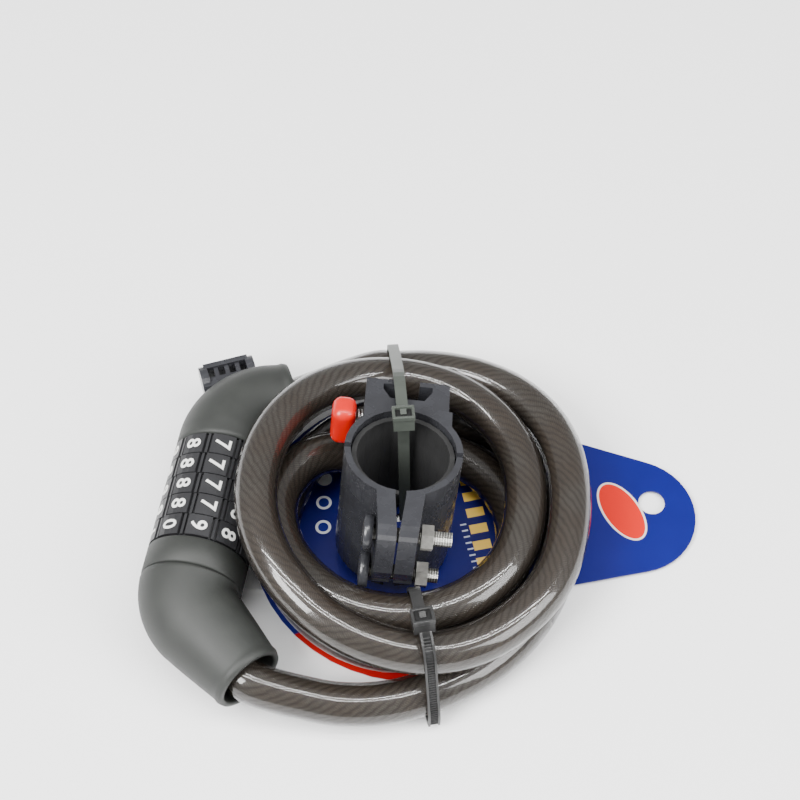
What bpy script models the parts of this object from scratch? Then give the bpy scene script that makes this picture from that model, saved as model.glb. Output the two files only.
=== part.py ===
"""Five-dial combination cable lock, coiled as sold: lock barrel, coiled cable, tube bracket,
two zip ties and a hang card.  Metres, +Z up.  The ties' straps and the barrel lie on the plane
z = 0, and the card is just above it, because the straps pass under the card.

It is modelled round the middle of the coil, on the surface that everything lies on, and moved
at the end so that the origin is the middle of its box.  The lock barrel lies to the left of
the coil (-X), the bracket stands inside the coil, and the card's tongue points to +X.
"""

import math

import bmesh
import bpy
from mathutils import Matrix, Vector

MM = 0.001
GAP = 0.3 * MM
BOX_MIDDLE = Vector((3.65, 0.0, 0.0)) * MM

# Lock barrel: its axis lies flat, at this angle from +X.
BARREL_CENTRE = Vector((-57.2, 2.1, 14.6)) * MM
BARREL_ANGLE = math.radians(80.4)
BARREL_RADIUS = 14.3 * MM
WALL = 1.8 * MM
DIAL_COUNT = 5
DIAL_PITCH = 6.6 * MM
DIAL_STACK = DIAL_COUNT * DIAL_PITCH
DIAL_TURNS = (7.0, 5.2, 7.6, 8.4, 3.6)
DIGITS = 10
COLLAR_LENGTH = 8.4 * MM
CORE_RADIUS = 8.0 * MM
CORE_BORE = 5.2 * MM
PIN_RADIUS = 4.7 * MM
LOCK_BEND = math.radians(63.7)
PLUG_BEND = math.radians(51.0)
MOUTH_RADIUS = 10.0 * MM
FERRULE_DEPTH = {"lock": 6.5 * MM, "plug": 12.5 * MM}

# Cable: (angle round the coil in degrees, radius, height of its middle) in millimetres.
CABLE_RADIUS = 6.0 * MM
LOW = 8.4
COIL_STATIONS = (
    (-116, 60.6, 9.6),
    (-105, 57.3, 8.6),
    (-92, 53.6, LOW),
    (-77, 49.7, LOW),
    (-51, 45.6, LOW),
    (-30, 43.4, LOW),
    (0, 42.2, LOW),
    (30, 41.0, LOW),
    (60, 39.2, LOW),
    (95, 38.1, LOW),
    (140, 37.2, LOW),
    (166, 37.3, LOW),
    (190, 38.7, LOW),
    (225, 39.8, LOW),
    (262, 39.8, LOW),
    (285, 36.8, LOW),
    (309, 32.7, LOW),
    (330, 30.7, LOW),
    (360, 29.7, LOW),
    (405, 27.2, LOW),
    (455, 25.6, 8.6),
    (478, 25.5, 11.3),
    (495, 28.2, 16.2),
    (512, 33.0, 20.0),
    (540, 38.0, 20.8),
    (585, 36.8, 20.8),
    (630, 33.9, 19.6),
    (675, 32.6, 20.6),
    (720, 32.0, 20.8),
    (765, 36.2, 21.2),
    (810, 41.0, 22.2),
    (855, 42.4, 29.4),
    (895, 42.8, 33.0),
    (935, 44.6, 32.0),
    (965, 45.9, 27.4),
    (1000, 46.4, 21.4),
    (1040, 45.4, 21.0),
    (1080, 44.5, 20.9),
    (1125, 49.4, 17.4),
    (1173, 50.8, 12.9),
    (1192, 52.4, 13.2),
)
TURN_STEP = 20.0
LEAD_SHARE = 0.105
LEAD_POINTS = 8
STUB = 4.0 * MM
COIL_POINTS = 70

# Bracket: the axis of its bore leans back, away from -Y.
BORE_TOP = Vector((-2.3, 3.7, 44.0)) * MM
LEAN_BACK = math.radians(10.0)
LEAN_RIGHT = math.radians(5.0)
YAW = math.radians(-3.0)
BRACKET_HEIGHT = 39.5 * MM
RING_OUTER = 16.3 * MM
RING_INNER = 14.5 * MM
LINER_INNER = 12.8 * MM
BLOCK_BOTTOM = 20.5 * MM
BOLT_HEIGHTS = (BRACKET_HEIGHT - 9 * MM, BRACKET_HEIGHT - 25 * MM)
BOLT_ENDS = (14.8 * MM, 12.6 * MM)
BOLT_FORWARD = 22.5 * MM
LUG_ROUND = 3.1 * MM
LUG_THICK = 5.0 * MM
LUG_GAP = 3.2 * MM
LUG_CLOSING = 0.09
BOLT_RADIUS = 2.0 * MM
BUTTON_BACK = 15.4 * MM
BUTTON_BORE_START = -13.0 * MM
STEM_HEIGHT = BRACKET_HEIGHT - 10.6 * MM
STEM_BORE_END = -6.2 * MM
SPRING_HEIGHT = BRACKET_HEIGHT - 4.6 * MM
SPRING_BORE_END = -8.9 * MM

# Card and ties
CARD_BOTTOM = 1.1 * MM
CARD_THICK = 0.5 * MM
CARD_TOP = CARD_BOTTOM + CARD_THICK
TIE_THICK = 0.9 * MM
TIE_WIDTH = 3.2 * MM
TIE_HEAD = (5.8 * MM, 4.8 * MM, 4.0 * MM)
NEAR_TIE_X, NEAR_TIE_TURN = -4.7 * MM, 10.2
FAR_TIE_X, FAR_TIE_TURN = -1.5 * MM, 4.1
NEAR_TIE = (
    (-59.3, 0.5),
    (-59.3, 9.2),
    (-51.0, 30.6),
    (-29.3, 25.5),
    (-26.5, 20.0),
    (-31.6, 6.6),
    (-31.6, 0.5),
)
FAR_TIE = (
    (58.6, 0.5),
    (58.6, 16.0),
    (43.6, 29.7),
    (29.8, 41.4),
    (12.6, 44.2),
    (12.4, 36.0),
    (6.4, 3.4),
    (6.2, 0.5),
)


def clear_scene():
    for old in list(bpy.data.objects):
        bpy.data.objects.remove(old, do_unlink=True)


def collection(name):
    made = bpy.data.collections.new(name)
    bpy.context.scene.collection.children.link(made)
    return made


def material(name, colour, roughness, metallic=0.0):
    made = bpy.data.materials.get(name)
    if made is None:
        made = bpy.data.materials.new(name)
        made.use_nodes = True
        shader = made.node_tree.nodes["Principled BSDF"]
        shader.inputs["Base Color"].default_value = (*colour, 1.0)
        shader.inputs["Roughness"].default_value = roughness
        shader.inputs["Metallic"].default_value = metallic
    return made


def cover_plastic():
    return material("cover_plastic", (0.10, 0.105, 0.10), 0.55)


def dial_plastic():
    return material("dial_plastic", (0.06, 0.06, 0.065), 0.5)


def bracket_plastic():
    return material("bracket_plastic", (0.05, 0.05, 0.055), 0.35)


def zinc():
    return material("zinc", (0.62, 0.62, 0.60), 0.35, 1.0)


def steel():
    return material("steel", (0.55, 0.55, 0.53), 0.3, 1.0)


def sheathed_cable():
    return material("sheathed_cable", (0.14, 0.13, 0.11), 0.25)


def red_plastic():
    return material("red_plastic", (0.75, 0.03, 0.01), 0.35)


def tie_plastic():
    return material("tie_plastic", (0.06, 0.06, 0.06), 0.4)


def card_stock():
    return material("card_stock", (0.01, 0.02, 0.35), 0.35)


def link(obj, surface, place=None):
    """Put an object in the parts collection, with its material and its place."""
    PARTS.objects.link(obj)
    obj.data.materials.append(surface)
    if place is not None:
        obj.matrix_world = place
    return obj


def as_cutter(obj):
    for home in list(obj.users_collection):
        home.objects.unlink(obj)
    CUTTERS.objects.link(obj)
    obj.hide_render = True
    obj.display_type = "WIRE"
    return obj


def from_bmesh(name, bm, surface, place):
    mesh = bpy.data.meshes.new(name)
    bm.to_mesh(mesh)
    bm.free()
    return link(bpy.data.objects.new(name, mesh), surface, place)


def box(name, size, surface, place):
    bm = bmesh.new()
    bmesh.ops.create_cube(bm, size=1.0, matrix=Matrix.Diagonal((*size, 1.0)))
    return from_bmesh(name, bm, surface, place)


def cylinder(name, radius, length, surface, place, sides=24):
    """A cylinder along its own Z, from z = 0 to z = length."""
    bm = bmesh.new()
    bmesh.ops.create_cone(
        bm, cap_ends=True, segments=sides, radius1=radius, radius2=radius, depth=length,
        matrix=Matrix.Translation((0, 0, length / 2)),
    )
    made = from_bmesh(name, bm, surface, place)
    shade_round(made)
    return made


def shade_round(obj):
    obj.data.shade_smooth()
    obj.data.set_sharp_from_angle(angle=math.radians(35))


def turned(name, profile, surface, place, steps=32):
    """A profile of (radius, height) points, top to bottom on its outer side, turned round Z."""
    mesh = bpy.data.meshes.new(name)
    corners = [(r, 0.0, z) for r, z in profile]
    edges = [(i, (i + 1) % len(corners)) for i in range(len(corners))]
    if profile[0][0] == 0.0:
        edges.pop()
    mesh.from_pydata(corners, edges, [])
    made = link(bpy.data.objects.new(name, mesh), surface, place)
    screw = made.modifiers.new("turn", "SCREW")
    screw.axis = "Z"
    screw.angle = math.tau
    screw.steps = steps
    screw.render_steps = steps
    screw.use_merge_vertices = True
    screw.merge_threshold = 0.00001
    screw.use_smooth_shade = False
    return made


def flat(name, outlines, thickness, surface, place):
    """Closed outlines in the object's own XY plane, filled and given a thickness along Z."""
    curve = bpy.data.curves.new(name, "CURVE")
    curve.dimensions = "2D"
    curve.fill_mode = "BOTH"
    curve.extrude = thickness / 2
    for outline in outlines:
        spline = curve.splines.new("POLY")
        spline.points.add(len(outline) - 1)
        for point, (x, y) in zip(spline.points, outline):
            point.co = (x, y, 0.0, 1.0)
        spline.use_cyclic_u = True
    return link(bpy.data.objects.new(name, curve), surface, place)


def tube(name, points, radii, surface, resolution=2):
    """A round tube through world points, with filled ends."""
    curve = bpy.data.curves.new(name, "CURVE")
    curve.dimensions = "3D"
    curve.bevel_depth = 1.0
    curve.bevel_resolution = resolution
    curve.use_fill_caps = True
    spline = curve.splines.new("POLY")
    spline.points.add(len(points) - 1)
    for point, place, radius in zip(spline.points, points, radii):
        point.co = (*place, 1.0)
        point.radius = radius
    return link(bpy.data.objects.new(name, curve), surface)


def as_mesh(obj):
    """Swap a curve, or a mesh with modifiers, for a plain closed mesh in the same place."""
    bpy.context.view_layer.update()
    graph = bpy.context.evaluated_depsgraph_get()
    mesh = bpy.data.meshes.new_from_object(obj.evaluated_get(graph))
    bm = bmesh.new()
    bm.from_mesh(mesh)
    bmesh.ops.remove_doubles(bm, verts=bm.verts, dist=0.000005)
    bm.to_mesh(mesh)
    bm.free()
    name = obj.name
    place = obj.matrix_world.copy()
    bpy.data.objects.remove(obj, do_unlink=True)
    made = bpy.data.objects.new(name, mesh)
    PARTS.objects.link(made)
    made.matrix_world = place
    return made


def combine(obj, other, operation):
    """Cut another object out of this one, or join it on, for good."""
    modifier = obj.modifiers.new(operation.lower(), "BOOLEAN")
    modifier.operation = operation
    modifier.object = as_cutter(other)
    modifier.solver = "EXACT"
    made = as_mesh(obj)
    bpy.data.objects.remove(other, do_unlink=True)
    return made


def cut(obj, other):
    return combine(obj, other, "DIFFERENCE")


def join(obj, other):
    return combine(obj, other, "UNION")


def arc(radius, start, end, count, centre=(0.0, 0.0)):
    """Points on an arc, angles in degrees."""
    made = []
    for i in range(count):
        angle = math.radians(start + (end - start) * i / (count - 1))
        made.append((centre[0] + radius * math.cos(angle), centre[1] + radius * math.sin(angle)))
    return made


def ring_outline(radius, count):
    return arc(radius, 0.0, 360.0 * (count - 1) / count, count)


def barrel_place(along=0.0, turn=0.0):
    """Local Z along the barrel's axis, local X up, turned about the axis."""
    axis = Vector((math.cos(BARREL_ANGLE), math.sin(BARREL_ANGLE), 0.0))
    up = Vector((0.0, 0.0, 1.0))
    side = axis.cross(up)
    frame = Matrix((up, side, axis)).transposed().to_4x4()
    return (
        Matrix.Translation(BARREL_CENTRE + axis * along)
        @ frame
        @ Matrix.Rotation(math.radians(turn), 4, "Z")
    )


def bracket_place(x=0.0, y=0.0, z=0.0):
    """Local Z along the bore from its lower end, local -Y towards the bolts."""
    turn = (
        Matrix.Rotation(-LEAN_BACK, 4, "X")
        @ Matrix.Rotation(LEAN_RIGHT, 4, "Y")
        @ Matrix.Rotation(YAW, 4, "Z")
    )
    foot = BORE_TOP - turn @ Vector((0, 0, BRACKET_HEIGHT))
    return Matrix.Translation(foot) @ turn @ Matrix.Translation((x, y, z))


def elbow_path(start, straight, bend_radius, bend, run, way):
    """Middle line of an elbow cover: along the barrel's axis (way +1 or -1), then bent
    towards the cable, then straight to its mouth.  Returns world points."""
    heading = BARREL_ANGLE + (0.0 if way > 0 else math.pi)
    place = BARREL_CENTRE + Vector((math.cos(BARREL_ANGLE), math.sin(BARREL_ANGLE), 0)) * start
    points = [place.copy()]
    place += Vector((math.cos(heading), math.sin(heading), 0)) * straight
    points.append(place.copy())
    steps = 6
    for _ in range(steps):
        turn = -way * bend / steps
        chord = 2 * bend_radius * math.sin(abs(turn) / 2)
        middle = heading + turn / 2
        place += Vector((math.cos(middle), math.sin(middle), 0)) * chord
        heading += turn
        points.append(place.copy())
    place += Vector((math.cos(heading), math.sin(heading), 0)) * run
    points.append(place.copy())
    return points


def lock_elbow_path():
    return elbow_path(DIAL_STACK / 2 + GAP, 5.2 * MM, 18.0 * MM, LOCK_BEND, 6.5 * MM, 1)


def plug_elbow_path():
    start = -DIAL_STACK / 2 - COLLAR_LENGTH - GAP
    return elbow_path(start, 0.1 * MM, 13.9 * MM, PLUG_BEND, 21.7 * MM, -1)


def tapered(points, first, last):
    """Radii for a path, the same along the first stretch and then narrowing evenly."""
    lengths = [0.0]
    for a, b in zip(points, points[1:]):
        lengths.append(lengths[-1] + (b - a).length)
    made = []
    for length in lengths:
        share = max(0.0, (length - lengths[1]) / (lengths[-1] - lengths[1]))
        made.append(first + (last - first) * share ** 1.3)
    return made


def stretched(points, extra):
    """The same path run on past both ends, so that a bore cut with it goes right through."""
    first = points[0] + (points[0] - points[1]).normalized() * extra
    last = points[-1] + (points[-1] - points[-2]).normalized() * extra
    return [first] + points[1:-1] + [last]


def elbow_cover(name, path):
    radii = tapered(path, BARREL_RADIUS, MOUTH_RADIUS)
    shell = as_mesh(tube(name, path, radii, cover_plastic(), resolution=6))
    inside = stretched(path, 1.0 * MM)
    bore = as_mesh(tube("bore", inside, [r - WALL for r in radii], cover_plastic(), resolution=5))
    shell = cut(shell, bore)
    shade_round(shell)
    return shell


def ferrule_place(path, back):
    """At the mouth's middle, `back` inside it, local Z pointing into the elbow."""
    inward = (path[-2] - path[-1]).normalized()
    turn = inward.to_track_quat("Z", "Y").to_matrix().to_4x4()
    return Matrix.Translation(path[-1] + inward * back) @ turn


def cable_end(name, path):
    """A crimped ferrule on the cable's end and the pin that holds it in its elbow."""
    depth = FERRULE_DEPTH[name]
    place = ferrule_place(path, depth)
    profile = ((0.0, 9 * MM), (5.4 * MM, 9 * MM), (6.6 * MM, 7.5 * MM), (6.6 * MM, 0), (0, 0))
    ferrule = as_mesh(turned(name + "_cable_ferrule", profile, zinc(), place, steps=20))
    middle = place @ Vector((0, 0, 4.5 * MM))
    hole = cylinder("hole", 1.6 * MM, 6 * MM, zinc(), drop(middle, 8 * MM), sides=12)
    ferrule = cut(ferrule, hole)
    shade_round(ferrule)
    pin = cylinder(
        name + "_ferrule_pin", 1.25 * MM, 9.0 * MM, steel(), drop(middle, 11.6 * MM), sides=12
    )
    return ferrule, pin, middle


def drop(point, depth):
    return Matrix.Translation(point - Vector((0, 0, depth)))


def pinned_cover(name, path, pin_middle):
    """An elbow cover with the hole for the ferrule's pin in its underside."""
    cover = elbow_cover(name, path)
    hole = cylinder("hole", 1.6 * MM, 12 * MM, steel(), drop(pin_middle, 17 * MM), sides=12)
    cover = cut(cover, hole)
    shade_round(cover)
    return cover


def dial_outline():
    """Ten raised pads with grooves between them, and a thin rib along each groove."""
    pitch = 360.0 / DIGITS
    pad, groove, rib = BARREL_RADIUS, BARREL_RADIUS - 1.1 * MM, BARREL_RADIUS - 0.25 * MM
    pad_half, rib_half = 13.4, 1.5
    made = []
    for k in range(DIGITS):
        middle = k * pitch
        made += arc(pad, middle - pad_half, middle + pad_half, 4)
        between = middle + pitch / 2
        for radius, turn in (
            (groove, pad_half + 0.5 - pitch / 2),
            (groove, -rib_half - 0.3),
            (rib, -rib_half),
            (rib, rib_half),
            (groove, rib_half + 0.3),
            (groove, pitch / 2 - pad_half - 0.5),
        ):
            made += arc(radius, between + turn, between + turn + 0.01, 2)[:1]
    return made


def notched_outline(outer, inner, notch_half, notch_depth):
    """A ring with a notch in its bore at angle 0."""
    half = math.degrees(math.asin(notch_half / inner))
    bore = arc(inner, half, 360.0 - half, 24)
    deep = inner + notch_depth
    bore += [(deep, -notch_half), (deep, notch_half)]
    return [ring_outline(outer, 24), bore]


def make_dials():
    for k in range(DIAL_COUNT):
        along = DIAL_STACK / 2 - DIAL_PITCH * (k + 0.5)
        place = barrel_place(along, DIAL_TURNS[k])
        bore = 10.45 * MM
        flat(
            f"dial_{k + 1}", [dial_outline(), ring_outline(bore, 32)], DIAL_PITCH - GAP,
            dial_plastic(), place,
        )
        ring = notched_outline(10.1 * MM, 8.35 * MM, 1.9 * MM, 0.9 * MM)
        flat(f"code_ring_{k + 1}", ring, DIAL_PITCH - 3 * GAP, zinc(), place)


def make_core():
    """The fixed tube that the dials turn on, slotted for the plug's teeth."""
    low = -DIAL_STACK / 2 - COLLAR_LENGTH + 0.6 * MM
    high = DIAL_STACK / 2 + 8 * MM
    flange = DIAL_STACK / 2 + 3.4 * MM
    seat = DIAL_STACK / 2 + 0.6 * MM
    profile = (
        (CORE_BORE, high),
        (CORE_RADIUS, high),
        (CORE_RADIUS, flange),
        (11.2 * MM, flange),
        (11.2 * MM, seat),
        (CORE_RADIUS, seat),
        (CORE_RADIUS, low),
        (CORE_BORE, low),
    )
    core = as_mesh(turned("lock_core_barrel", profile, zinc(), barrel_place(), steps=32))
    slot_length = DIAL_STACK + COLLAR_LENGTH + 4 * MM
    slot_place = barrel_place() @ Matrix.Translation(
        (-CORE_RADIUS + 1.5 * MM, 0, low - 1 * MM + slot_length / 2)
    )
    core = cut(core, box("slot", (5 * MM, 3.6 * MM, slot_length), zinc(), slot_place))
    channel_place = barrel_place() @ Matrix.Translation((CORE_RADIUS, 0, 0))
    channel = box("channel", (1.8 * MM, 3.4 * MM, DIAL_STACK), zinc(), channel_place)
    core = cut(core, channel)
    shade_round(core)


def band_outline(path, thickness, closed):
    """The outline of a strip of even thickness whose middle follows a flat path."""
    count = len(path)
    left, right = [], []
    for i, (x, y) in enumerate(path):
        before = path[i - 1] if closed or i > 0 else path[i]
        after = path[(i + 1) % count] if closed or i < count - 1 else path[i]
        along = Vector((after[0] - before[0], after[1] - before[1])).normalized()
        side = Vector((-along.y, along.x)) * thickness / 2
        left.append((x + side.x, y + side.y))
        right.append((x - side.x, y - side.y))
    if closed:
        return [left, right]
    return [left + right[::-1]]


def make_detent_spring():
    """A leaf spring in the core's channel with one bump for each dial."""
    steps = 4 * DIAL_COUNT
    length = DIAL_STACK - 1.4 * MM
    rise = 0.2 * MM
    path = []
    for i in range(steps + 1):
        share = i / steps
        wave = rise * math.sin(math.tau * DIAL_COUNT * share)
        path.append((CORE_RADIUS - 0.4 * MM + wave - 0.05 * MM, (share - 0.5) * length))
    outline = band_outline(path, 0.3 * MM, closed=False)
    turn = Matrix.Rotation(math.radians(90), 4, "X")
    flat("dial_detent_spring", outline, 2.6 * MM, steel(), barrel_place() @ turn)


def make_collar():
    """The smooth ring below the dials, turned to set a new code."""
    top = -DIAL_STACK / 2 - GAP
    low = -DIAL_STACK / 2 - COLLAR_LENGTH
    bore = CORE_RADIUS + 0.35 * MM
    edge = 0.4 * MM
    profile = (
        (bore, top),
        (BARREL_RADIUS - edge, top),
        (BARREL_RADIUS, top - edge),
        (BARREL_RADIUS, low + edge),
        (BARREL_RADIUS - edge, low),
        (bore, low),
    )
    turned("reset_collar", profile, cover_plastic(), barrel_place(), steps=32)


def make_plug_inside():
    """The toothed pin that the dials hold, and the insert that ties it to the plug's cover."""
    start = -DIAL_STACK / 2 - COLLAR_LENGTH
    head_top = start - 5.6 * MM
    head_low = start - 8.2 * MM
    tip = DIAL_STACK / 2 - 1.5 * MM
    profile = (
        (0.0, tip),
        (2.6 * MM, tip),
        (PIN_RADIUS, tip - 2.5 * MM),
        (PIN_RADIUS, head_top),
        (7.5 * MM, head_top),
        (7.5 * MM, head_low),
        (0.0, head_low),
    )
    pin = as_mesh(turned("plug_pin", profile, steel(), barrel_place(), steps=24))
    for k in range(DIAL_COUNT):
        along = DIAL_STACK / 2 - DIAL_PITCH * (k + 0.5) - 1.2 * MM
        place = barrel_place() @ Matrix.Translation((-5.4 * MM, 0, along))
        pin = join(pin, box("tooth", (4.6 * MM, 2.8 * MM, 2.2 * MM), steel(), place))
    shade_round(pin)
    top = start - 1.0 * MM
    low = head_top + GAP
    insert = (
        (PIN_RADIUS + 0.4 * MM, top),
        (10.6 * MM, top),
        (10.6 * MM, low),
        (PIN_RADIUS + 0.4 * MM, low),
    )
    turned("plug_core", insert, zinc(), barrel_place(), steps=32)


def make_tongue(path):
    """The T-shaped tongue on the back of the lock, which slides into the bracket."""
    mouth_way = (path[-1] - path[-2]).normalized()
    out = Vector((-mouth_way.y, mouth_way.x, 0))
    middle = path[4] + out * (BARREL_RADIUS + 1.5 * MM) - mouth_way * 1.0 * MM
    frame = Matrix((mouth_way, out, Vector((0, 0, 1)))).transposed().to_4x4()
    place = Matrix.Translation(middle) @ frame
    bar = box("mount_tongue", (13.4 * MM, 1.6 * MM, 8.6 * MM), cover_plastic(),
              place @ Matrix.Translation((0, 2.3 * MM, 0)))
    bar = as_mesh(bar)
    side = Matrix.Rotation(math.radians(90), 4, "Y")
    for way in (-1, 1):
        along = way * 7.0 * MM - 1.2 * MM
        disc = cylinder("disc", 4.9 * MM, 2.4 * MM, cover_plastic(),
                        place @ Matrix.Translation((along, -0.6 * MM, 0)) @ side, sides=20)
        bar = join(bar, disc)
    for along in (-3.2 * MM, 0.0, 3.2 * MM):
        rib = box("rib", (1.3 * MM, 7.0 * MM, 7.0 * MM), cover_plastic(),
                  place @ Matrix.Translation((along, -0.8 * MM, 0)))
        bar = join(bar, rib)
    base = box("base", (15.6 * MM, 3.0 * MM, 7.0 * MM), cover_plastic(),
               place @ Matrix.Translation((0, -3.0 * MM, 0)))
    bar = join(bar, base)
    radii = [r + GAP * 1.3 for r in tapered(path, BARREL_RADIUS, MOUTH_RADIUS)]
    room = as_mesh(tube("room", stretched(path, 0.5 * MM), radii, cover_plastic(), resolution=6))
    bar = cut(bar, room)
    shade_round(bar)


def smooth_value(stations, column, at):
    """A smooth curve through one column of the stations, at an angle."""
    last = len(stations) - 2
    k = 0
    while k < last and stations[k + 1][0] < at:
        k += 1

    def slope(i):
        a = stations[max(i - 1, 0)]
        b = stations[min(i + 1, len(stations) - 1)]
        return (b[column] - a[column]) / (b[0] - a[0])

    span = stations[k + 1][0] - stations[k][0]
    t = (at - stations[k][0]) / span
    return (
        stations[k][column] * (2 * t**3 - 3 * t**2 + 1)
        + slope(k) * span * (t**3 - 2 * t**2 + t)
        + stations[k + 1][column] * (3 * t**2 - 2 * t**3)
        + slope(k + 1) * span * (t**3 - t**2)
    )


def coil_points():
    made = []
    at = COIL_STATIONS[0][0]
    while at < COIL_STATIONS[-1][0]:
        radius = smooth_value(COIL_STATIONS, 1, at) * MM
        height = smooth_value(COIL_STATIONS, 2, at) * MM
        angle = math.radians(at)
        made.append(Vector((radius * math.cos(angle), radius * math.sin(angle), height)))
        at += TURN_STEP / 2
    return made


def end_points(path, depth):
    """Where the cable meets its ferrule, square on, and its place in the elbow's mouth."""
    outward = (path[-1] - path[-2]).normalized()
    face = path[-1] - outward * (depth - GAP)
    mouth = path[-1] + outward * 1.0 * MM - Vector((0, 0, 0.6 * MM))
    return [face, face + outward * STUB, mouth]


def even_points(points, count):
    """Evenly spaced points on a Catmull-Rom curve through the given points."""
    dense = []
    padded = [points[0] * 2 - points[1]] + points + [points[-1] * 2 - points[-2]]
    for a, b, c, d in zip(padded, padded[1:], padded[2:], padded[3:]):
        for i in range(12):
            t = i / 12
            dense.append(
                0.5 * (2 * b + (c - a) * t + (2 * a - 5 * b + 4 * c - d) * t**2
                       + (3 * b - a - 3 * c + d) * t**3)
            )
    dense.append(points[-1])
    lengths = [0.0]
    for a, b in zip(dense, dense[1:]):
        lengths.append(lengths[-1] + (b - a).length)
    made = []
    k = 0
    for i in range(count):
        target = lengths[-1] * i / (count - 1)
        while k < len(dense) - 2 and lengths[k + 1] < target:
            k += 1
        share = (target - lengths[k]) / (lengths[k + 1] - lengths[k])
        made.append(dense[k].lerp(dense[k + 1], share))
    return made


def cable_route():
    start = end_points(plug_elbow_path(), FERRULE_DEPTH["plug"])
    end = end_points(lock_elbow_path(), FERRULE_DEPTH["lock"])
    return start + coil_points() + end[::-1]


def make_cable():
    """The sheathed cable from the plug to the lock, in two nodes that meet face to face:
    the lead that follows the plug, and the coil.  Each end has a short straight stub, so
    that its face is square."""
    route = cable_route()
    fine = even_points(route, 900)
    split = int(len(fine) * LEAD_SHARE)
    along = (fine[split + 1] - fine[split - 1]).normalized()
    lead = route[:2] + even_points(fine[10 : split - 10], LEAD_POINTS)
    lead += [fine[split] - along * STUB, fine[split] - along * GAP / 2]
    coil = [fine[split] + along * GAP / 2, fine[split] + along * STUB]
    coil += even_points(fine[split + 11 : -10], COIL_POINTS) + route[-2:]
    tube("cable_lead", lead, [CABLE_RADIUS] * len(lead), sheathed_cable())
    tube("cable_coil", coil, [CABLE_RADIUS] * len(coil), sheathed_cable())


def saddle_outline():
    """Back half of the clamp ring with the block behind it and its open T-slot."""
    left, right, back = -11.8 * MM, 11.8 * MM, 25.8 * MM
    slot_front, slot_wide, slot_back = 18.8 * MM, 22.2 * MM, 24.1 * MM
    narrow, wide, front = 3.3 * MM, 6.9 * MM, 4.8 * MM
    meets_left = math.degrees(math.acos(left / RING_OUTER))
    meets_right = math.degrees(math.acos((right + 1 * MM) / RING_OUTER))
    made = arc(RING_INNER, 3, 177, 15)
    made += arc(RING_OUTER, 177, meets_left, 5)
    made += [
        (left, back),
        (-narrow, back),
        (-narrow, slot_back),
        (-wide, slot_back),
        (-wide, slot_wide),
        (-front, slot_front),
        (front, slot_front),
        (wide, slot_wide),
        (wide, slot_back),
        (narrow, slot_back),
        (narrow, back),
        (right, back),
        (right, 15.5 * MM),
        (right + 1 * MM, 15.5 * MM),
    ]
    made += arc(RING_OUTER, meets_right, 3, 5)
    return made


def half_ring_outline(start, end, count=15):
    return arc(RING_INNER, start, end, count) + arc(RING_OUTER, end, start, count)


def make_saddle():
    block_height = BRACKET_HEIGHT - BLOCK_BOTTOM
    saddle = flat("bracket_saddle", [saddle_outline()], block_height, bracket_plastic(),
                  bracket_place(z=BLOCK_BOTTOM + block_height / 2))
    saddle = as_mesh(saddle)
    skirt_height = BLOCK_BOTTOM + 2 * MM
    skirt = flat("skirt", [half_ring_outline(3, 177)], skirt_height, bracket_plastic(),
                 bracket_place(z=skirt_height / 2))
    saddle = join(saddle, as_mesh(skirt))
    for height, end in ((STEM_HEIGHT, STEM_BORE_END), (SPRING_HEIGHT, SPRING_BORE_END)):
        saddle = cut(saddle, side_rod("bore", 2.2 * MM, BUTTON_BORE_START, end, height))
    shade_round(saddle)


def side_rod(name, radius, start, end, height, back=BUTTON_BACK, surface=None, sides=12):
    """A rod along the bracket's X, from start to end."""
    turn = Matrix.Rotation(math.radians(90), 4, "Y")
    place = bracket_place(start, back, height) @ turn
    return cylinder(name, radius, end - start, surface or bracket_plastic(), place, sides)


def lug_outline():
    """One arm's lug in the bracket's YZ plane, as (forward, height) with rounded corners."""
    top, low = BRACKET_HEIGHT, BRACKET_HEIGHT - 29.5 * MM
    root, front, middle = 14.7 * MM, 29.4 * MM, BOLT_FORWARD
    corner = 3.0 * MM
    made = [(-root, top)]
    made += arc(corner, 90, 180, 4, centre=(-front + corner, top - corner))
    made += [(-front, BRACKET_HEIGHT - 17 * MM)]
    made += arc(LUG_ROUND, 175, 265, 5, centre=(-middle, BOLT_HEIGHTS[1]))
    made += [(-root, low + 2 * MM)]
    return made


def make_arm(side, start, end):
    ring = flat("clamp_arm_" + side, [half_ring_outline(start, end, 9)], BRACKET_HEIGHT,
                bracket_plastic(), bracket_place(z=BRACKET_HEIGHT / 2))
    arm = as_mesh(ring)
    way = -1 if side == "left" else 1
    inner = LUG_GAP / 2 + LUG_CLOSING * RING_INNER + LUG_THICK / 2
    across = Matrix(
        ((way * LUG_CLOSING, 0, 1, way * inner), (1, 0, 0, 0), (0, 1, 0, 0), (0, 0, 0, 1))
    )
    lug = as_mesh(flat("lug", [lug_outline()], LUG_THICK, bracket_plastic(), Matrix()))
    lug.data.transform(across)
    lug.matrix_world = bracket_place()
    arm = join(arm, lug)
    for height in BOLT_HEIGHTS:
        hole = side_rod("hole", BOLT_RADIUS + GAP, -12 * MM, 12 * MM, height, back=-BOLT_FORWARD)
        arm = cut(arm, hole)
    shade_round(arm)


def make_liner():
    """A split rubber sleeve inside the bore."""
    outer = RING_INNER - GAP
    outline = arc(LINER_INNER, -62, 268, 25) + arc(outer, 268, -62, 25)
    height = BRACKET_HEIGHT - 3 * MM
    flat("clamp_liner", [outline], height, material("liner_rubber", (0.03, 0.03, 0.03), 0.7),
         bracket_place(z=height / 2 + 0.8 * MM))


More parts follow.
